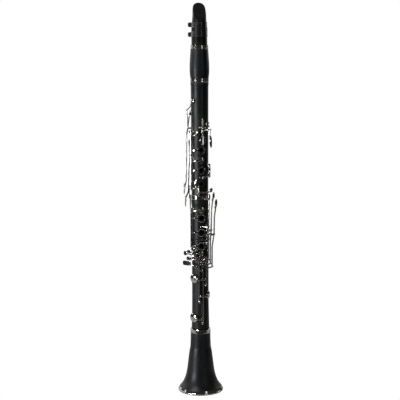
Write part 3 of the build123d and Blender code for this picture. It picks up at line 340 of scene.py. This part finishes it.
def cork_bumper(key, angle, height):
    """A hand-cut cork block glued under a touch, narrower at its free end."""
    spot, out = find_underside(key, angle, height)
    shape = bmesh.new()
    rows = [bumper_row(shape, spot, out, depth, spread) for depth, spread in BUMPER_ROWS]
    for upper, lower in zip(rows, rows[1:]):
        for a in range(BUMPER_POINTS):
            b = (a + 1) % BUMPER_POINTS
            shape.faces.new((upper[a], upper[b], lower[b], lower[a]))
    shape.faces.new(rows[0])
    shape.faces.new(list(reversed(rows[-1])))
    bmesh.ops.recalc_face_normals(shape, faces=shape.faces)
    mesh = bpy.data.meshes.new("bumper_" + key)
    shape.to_mesh(mesh)
    shape.free()
    piece = bpy.data.objects.new("bumper_" + key, mesh)
    bpy.context.scene.collection.objects.link(piece)
    piece.data.materials.append(MATERIALS["cork"])
    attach(piece, BODY_OF[key])


bpy.context.view_layer.update()  # the ray casts need the places of the nodes
for touched, (angle, height) in TOUCHES.items():
    cork_bumper(touched, angle, height)

# ---------------------------------------------------------------- light, floor and camera

COOL = (0.90, 0.95, 1.0)
WHITE = (1, 1, 1)


def area_light(name, place, target, width, height, power, colour=WHITE):
    """A rectangular soft light that faces a target."""
    data = bpy.data.lights.new(name, "AREA")
    data.shape = "RECTANGLE"
    data.size, data.size_y, data.energy, data.color = width, height, power, colour
    lamp = bpy.data.objects.new(name, data)
    lamp.location = place
    lamp.rotation_mode = "QUATERNION"
    lamp.rotation_quaternion = (Vector(target) - Vector(place)).to_track_quat("-Z", "Y")
    bpy.context.scene.collection.objects.link(lamp)


def around_axis(azimuth, distance, height):
    """A place at an angle from the front (-Y), counted towards +X."""
    turn = math.radians(azimuth)
    return (math.sin(turn) * distance, -math.cos(turn) * distance, height)


def make_world():
    """Pure white behind the object, and a dimmer even light from all round."""
    world = bpy.data.worlds.new("studio")
    bpy.context.scene.world = world
    world.use_nodes = True
    tree = world.node_tree
    seen, lit = tree.nodes["Background"], tree.nodes.new("ShaderNodeBackground")
    seen.inputs["Color"].default_value = (1, 1, 1, 1)
    seen.inputs["Strength"].default_value = 1.0
    lit.inputs["Color"].default_value = (1.0, 0.99, 0.97, 1)
    lit.inputs["Strength"].default_value = 0.025
    mix, path = tree.nodes.new("ShaderNodeMixShader"), tree.nodes.new("ShaderNodeLightPath")
    tree.links.new(path.outputs["Is Camera Ray"], mix.inputs["Fac"])
    tree.links.new(lit.outputs["Background"], mix.inputs[1])
    tree.links.new(seen.outputs["Background"], mix.inputs[2])
    tree.links.new(mix.outputs["Shader"], tree.nodes["World Output"].inputs["Surface"])


def make_floor():
    """A round floor, mostly behind the bell, that is white to the camera and pale grey in the metal."""
    mesh = bpy.data.meshes.new("floor")
    shape = bmesh.new()
    bmesh.ops.create_circle(shape, cap_ends=True, segments=96, radius=1.0)
    bmesh.ops.translate(shape, verts=shape.verts, vec=(0, 0.75, 0))
    shape.to_mesh(mesh)
    shape.free()
    floor = bpy.data.objects.new("floor", mesh)
    bpy.context.scene.collection.objects.link(floor)
    s = Shader("floor_paper")
    s.colour(s.blend(s.noise(30, 4), (0.52, 0.52, 0.52), (0.60, 0.60, 0.60)))
    s.set(Roughness=0.9, Specular_IOR_Level=0.1)
    seen, mix = s.node("ShaderNodeEmission"), s.node("ShaderNodeMixShader")
    s.link(s.node("ShaderNodeLightPath").outputs["Is Camera Ray"], mix.inputs["Fac"])
    s.link(s.principled.outputs["BSDF"], mix.inputs[1])
    s.link(seen.outputs["Emission"], mix.inputs[2])
    s.link(mix.outputs["Shader"], s.tree.nodes["Material Output"].inputs["Surface"])
    floor.data.materials.append(s.material)


def make_camera():
    """A long lens from a little to the player's right of the finger holes, looking slightly down."""
    azimuth, distance, height = -10, 1.945, 0.607
    tilt, roll = math.radians(8), math.radians(-0.24)
    data = bpy.data.cameras.new("camera")
    data.sensor_width, data.lens = 36.0, 103.6
    camera = bpy.data.objects.new("camera", data)
    camera.location = around_axis(azimuth, distance, height)
    aim = Vector((0, 0, height - distance * math.tan(tilt)))
    camera.rotation_mode = "QUATERNION"
    lean = Matrix.Rotation(roll, 4, "Z").to_quaternion()
    camera.rotation_quaternion = (aim - camera.location).to_track_quat("-Z", "Y") @ lean
    bpy.context.scene.collection.objects.link(camera)
    bpy.context.scene.camera = camera


def light_all():
    """A cool key light on the player's right, a weak strip in front, a cool light down onto the bell, and
    panels behind, at the sides and overhead for the black and the metal to mirror.
    """
    middle, bell = (0, 0, 0.34), (0, 0, 0.0)
    area_light("key_light", around_axis(-64, 1.7, 0.26), middle, 0.5, 0.2, 11, COOL)
    area_light("front_strip", around_axis(22, 1.9, 0.8), middle, 0.1, 1.4, 1.2)
    area_light("bell_light", around_axis(-58, 0.7, 0.95), bell, 0.24, 0.24, 3.4, COOL)
    area_light("backdrop", (0, 1.5, 0.55), (0, 0, 0.45), 3.2, 1.5, 11)
    for name, side in (("left_wall", 1.5), ("right_wall", -1.5)):
        area_light(name, (side, 0.8, 0.78), bell, 1.3, 0.4, 2.2)
    area_light("overhead", (0, 0.9, 1.9), (0, 0.2, 0), 1.2, 1.2, 14)


make_world()
make_floor()
make_camera()
light_all()

bpy.context.scene.view_settings.view_transform = "Standard"
